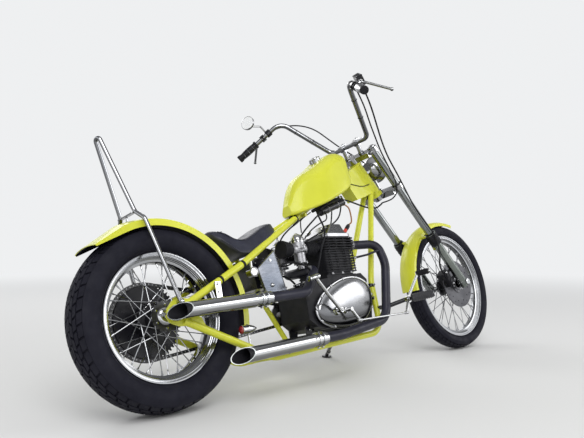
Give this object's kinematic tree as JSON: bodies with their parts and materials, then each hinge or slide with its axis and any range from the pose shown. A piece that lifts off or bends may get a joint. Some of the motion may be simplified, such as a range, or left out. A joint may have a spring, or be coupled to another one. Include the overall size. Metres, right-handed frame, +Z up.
{
  "type": "chopper motorcycle",
  "caption": "Chopper motorcycle with a rigid tube frame, parallel twin engine, pull-back handlebar, solo seat and laced wheels, parked on its side stand.",
  "frame": {"origin": "centre of the bounding box's base, on the ground, with the machine leaned on its side stand", "axes": "+X points ahead along the ground, +Y to the rider's left, +Z up; the wheels and frame lean to the left about X"},
  "size_m": [2.5127, 1.0093, 1.3694],
  "materials": {
    "black_metal": "satin",
    "black_rubber": "matte",
    "body_yellow": "gloss",
    "chrome": "polished",
    "engine_black": "matte",
    "frame_yellow": "gloss",
    "polished_alloy": "polished",
    "seat_leather": "satin",
    "steel": "brushed",
    "tyre_rubber": "matte"
  },
  "bodies": {
    "frame": {"steering_head": "frame_yellow", "backbone_tube": "frame_yellow", "neck_gusset": "frame_yellow", "seat_stays": "frame_yellow", "downtubes": "frame_yellow", "lower_rails": "frame_yellow", "frame_cross_tubes": "frame_yellow", "rear_mudguard": "body_yellow", "horn": "chrome", "tail_lamp": "chrome", "battery_box": "black_metal", "side_panel": "polished_alloy", "footpegs": "black_metal", "sissy_bar": "chrome", "muffler_upper": "chrome", "muffler_lower": "chrome", "ignition_coil": "black_metal", "crankcase": "engine_black", "engine_mounts": "black_metal", "cylinder_block": "engine_black", "cylinder_head": "engine_black", "rocker_cover": "polished_alloy", "clutch_cover": "polished_alloy", "kick_lever": "chrome", "brake_pedal": "chrome", "alternator_cover": "engine_black", "gear_pedal": "chrome", "seat": "seat_leather", "fuel_tank": "body_yellow", "fuel_cap": "chrome", "carburettors": "polished_alloy", "intake_rubbers": "black_rubber", "exhaust_header_front": "black_metal", "exhaust_header_rear": "black_metal", "rear_axle": "chrome", "drive_chain": "steel", "engine_sprocket": "steel"},
    "rear_wheel": {"rear_tyre": "tyre_rubber", "rear_rim_and_spokes": "chrome", "rear_hub": "chrome", "rear_sprocket": "black_metal"},
    "steering": {"fork_clamps": "chrome", "fork_tubes": "chrome", "fork_sliders": "polished_alloy", "handlebar": "chrome", "grips": "black_rubber", "hand_controls": "chrome", "mirror": "chrome", "headlamp": "chrome", "front_mudguard": "body_yellow", "front_axle": "chrome", "front_caliper": "black_metal", "throttle_cable": "black_rubber", "handlebar_lead": "black_rubber", "brake_hose": "black_rubber"},
    "front_wheel": {"front_tyre": "tyre_rubber", "front_rim_and_spokes": "chrome", "front_hub": "polished_alloy", "front_brake_disc": "steel"},
    "side_stand": {"side_stand": "chrome"}
  },
  "joints": [
    {"name": "rear_wheel_spin", "type": "hinge", "parent": "frame", "child": "rear_wheel", "pos_m": [-0.9265, -0.18854, 0.32338], "axis": [0, 0.9678, -0.2516], "continuous": true},
    {"name": "steering_turn", "type": "hinge", "parent": "frame", "child": "steering", "pos_m": [0.39755, -0.03799, 0.9026], "axis": [-0.6101, 0.1993, 0.7668], "range_deg": [-30, 30]},
    {"name": "front_wheel_spin", "type": "hinge", "parent": "steering", "child": "front_wheel", "pos_m": [0.9145, -0.18552, 0.33499], "axis": [0, 0.9678, -0.2516], "continuous": true},
    {"name": "side_stand_swing", "type": "hinge", "parent": "frame", "child": "side_stand", "pos_m": [0.0785, -0.09595, 0.11516], "axis": [0.0253, 0.545, 0.838], "range_deg": [0, 116]}
  ]
}
